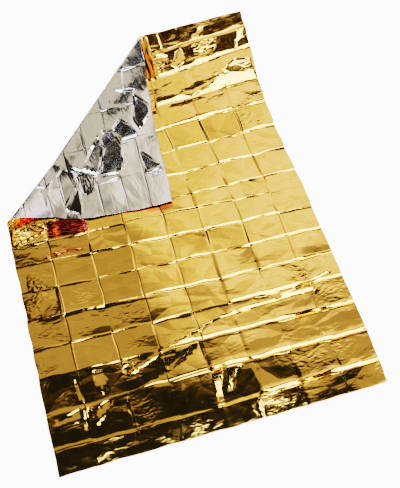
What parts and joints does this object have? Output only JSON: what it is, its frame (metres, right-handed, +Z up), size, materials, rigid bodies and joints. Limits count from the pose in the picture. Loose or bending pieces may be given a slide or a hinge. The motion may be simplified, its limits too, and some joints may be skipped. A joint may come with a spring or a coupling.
{
  "type": "emergency foil blanket",
  "caption": "Thin metallised film blanket laid out flat, gold face up, with packing creases and one corner folded over to show its silver face.",
  "frame": {"origin": "centre of the laid blanket's bounding box, on the ground it lies on", "axes": "+X to the right across the blanket, +Y along its length towards the end with the folded corner, +Z up"},
  "size_m": [1.567, 2.0938, 0.0438],
  "materials": {
    "metallised_film": "mirror bright, gold on the upper face and silver on the other"
  },
  "bodies": {
    "root": {"foil_sheet": "metallised_film"}
  },
  "joints": []
}
